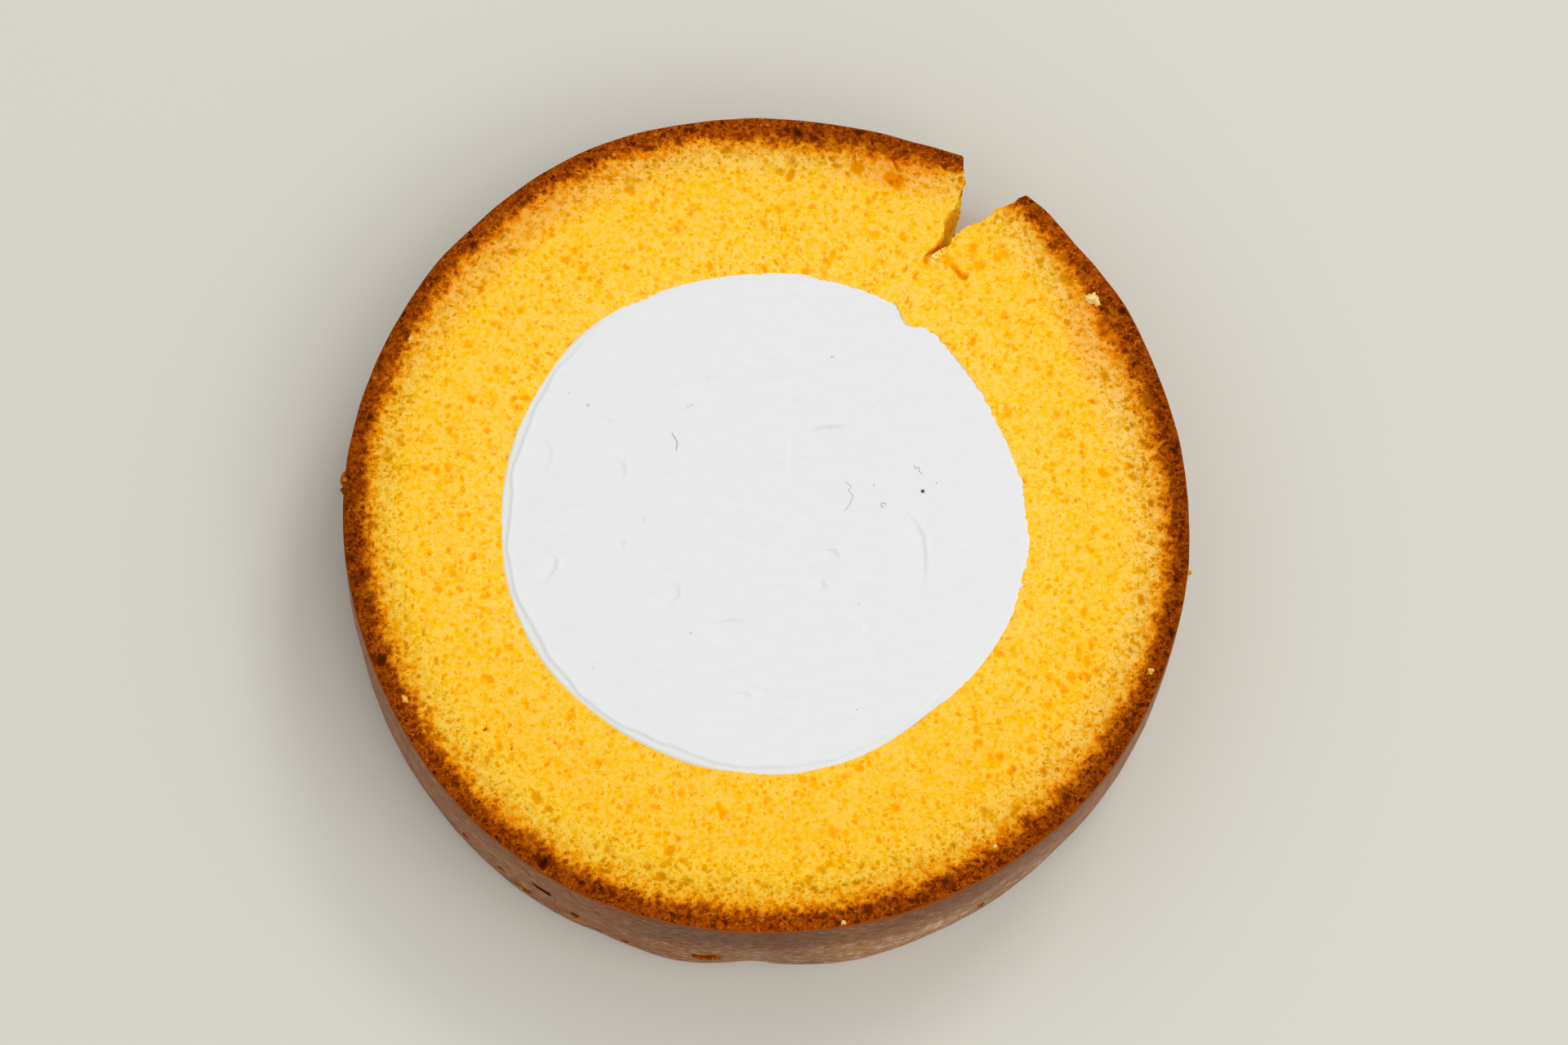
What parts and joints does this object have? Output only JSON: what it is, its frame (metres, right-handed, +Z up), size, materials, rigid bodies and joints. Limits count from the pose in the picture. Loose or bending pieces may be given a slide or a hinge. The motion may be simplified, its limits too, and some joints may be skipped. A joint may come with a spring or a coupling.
{
  "type": "swiss roll cake slice",
  "caption": "Round slice of a swiss roll cake lying on its cut face: a C-rolled sheet of yellow sponge with a browned skin round a white whipped-cream core.",
  "frame": {"origin": "middle of the slice's box in plan, on the flat cut face that it lies on", "axes": "+Z up along the roll's own axis; +X and +Y in the cut face, with the sheet's seam 59 degrees round from +X towards +Y"},
  "size_m": [0.0904, 0.0902, 0.0175],
  "materials": {
    "sponge": "soft open crumb, egg yellow, with a browned skin about 3 mm deep on the outer side",
    "cream": "smooth whipped cream, satin white"
  },
  "bodies": {
    "root": {"sponge": "sponge", "cream": "cream"}
  },
  "joints": []
}
